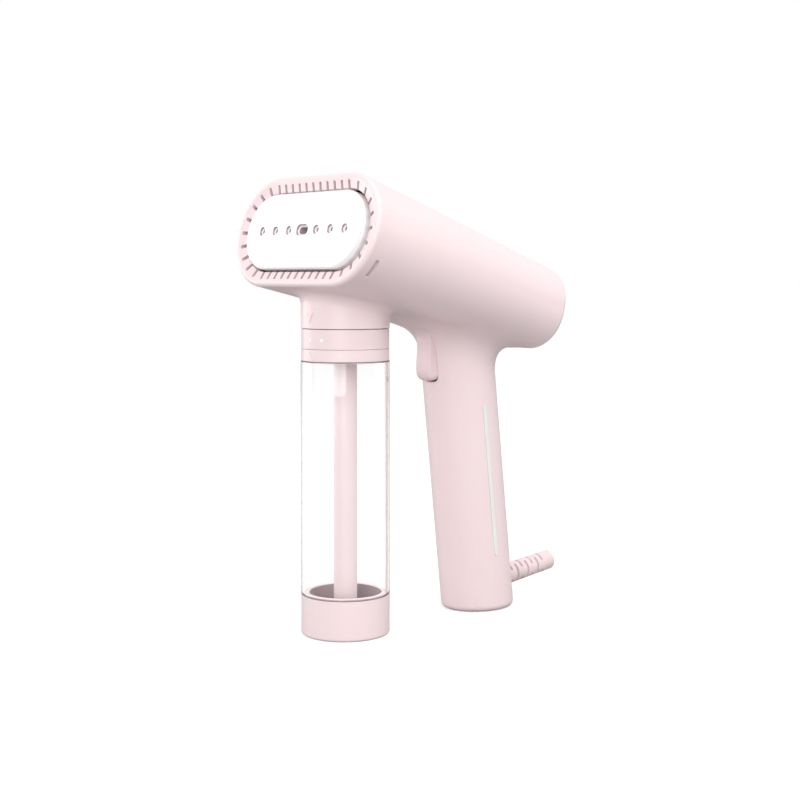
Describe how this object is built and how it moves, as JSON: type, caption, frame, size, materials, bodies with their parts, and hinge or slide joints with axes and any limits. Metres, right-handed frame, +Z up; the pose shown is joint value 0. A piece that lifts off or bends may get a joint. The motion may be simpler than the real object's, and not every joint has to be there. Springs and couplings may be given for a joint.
{
  "type": "garment steamer",
  "caption": "Hand-held garment steamer: tilted tapering head with vented soleplate, clear upright twist-off water tank under its front, leaning grip with a trigger, standing on tank and grip.",
  "frame": {"origin": "middle of the footprint's bounding box, on the surface that the steamer stands on", "axes": "+Z up, -Y towards the steaming face, +Y towards the grip and cord outlet, +X to the right seen from the front of the face"},
  "size_m": [0.1184, 0.1902, 0.2399],
  "materials": {
    "casing": "satin",
    "bezel": "satin",
    "ring_plastic": "satin",
    "trigger_plastic": "satin",
    "ceramic": "glossy ceramic coating",
    "cast_aluminium": "as cast",
    "steel": "plain",
    "silicone": "matte",
    "dark_plastic": "matte",
    "rubber": "matte",
    "hose": "translucent",
    "board": "solder mask",
    "component": "plain",
    "lead": "insulation",
    "inner_plastic": "plain",
    "dot_white": "printed white",
    "clear": "clear, polished",
    "gasket": "matte",
    "light_strip": "translucent light guide",
    "relief_rubber": "matte"
  },
  "bodies": {
    "housing": {"casing_left": "casing", "casing_right": "casing", "bezel_ring": "bezel", "soleplate": "ceramic", "steam_chamber": "cast_aluminium", "heating_element": "steel", "chamber_gasket": "silicone", "chamber_cover": "cast_aluminium", "chamber_screws": "steel", "thermostat": "steel", "thermal_fuse": "ceramic", "heat_shield": "dark_plastic", "water_pump": "dark_plastic", "pump_cradle": "rubber", "inlet_hose": "hose", "steam_feed_hose": "hose", "control_board": "board", "board_parts": "component", "board_screws": "steel", "supply_leads": "lead", "tank_socket": "inner_plastic", "socket_clip": "steel", "trigger_pin": "steel", "trigger_spring": "steel", "microswitch": "dark_plastic", "light_strips": "light_strip", "strip_board": "board", "grip_foot": "casing", "strain_relief": "relief_rubber", "cord_clamp": "inner_plastic", "clamp_screws": "steel"},
    "lock_ring": {"lock_ring": "ring_plastic", "lock_dots": "dot_white"},
    "tank": {"tank_collar": "casing", "tank_seal": "silicone", "tank_tube": "clear", "tube_gaskets": "gasket", "tank_base": "casing", "suction_pipe": "casing", "pipe_filter": "steel"},
    "trigger": {"trigger": "trigger_plastic"},
    "switch_button": {"switch_button": "component"}
  },
  "joints": [
    {"name": "trigger_press", "type": "hinge", "parent": "housing", "child": "trigger", "pos_m": [0, -0.00078, 0.15688], "axis": [1, 0, 0], "range_deg": [0, 6], "stiffness_Nm_per_rad": 0.4, "springref_deg": -2.86},
    {"name": "switch_travel", "type": "slide", "parent": "housing", "child": "switch_button", "axis": [0, 0.9938, 0.1115], "range_m": [0, 0.0021]},
    {"name": "ring_turn", "type": "hinge", "parent": "housing", "child": "lock_ring", "pos_m": [0, -0.06056, 0.1556], "axis": [0, 0, 1], "range_deg": [-20, 0]},
    {"name": "tank_release", "type": "slide", "parent": "housing", "child": "tank", "axis": [0, 0, -1], "range_m": [0, 0.03]}
  ],
  "couplings": [
    {"joint": "switch_travel", "follows": "trigger_press", "m_per_rad": 0.019}
  ]
}
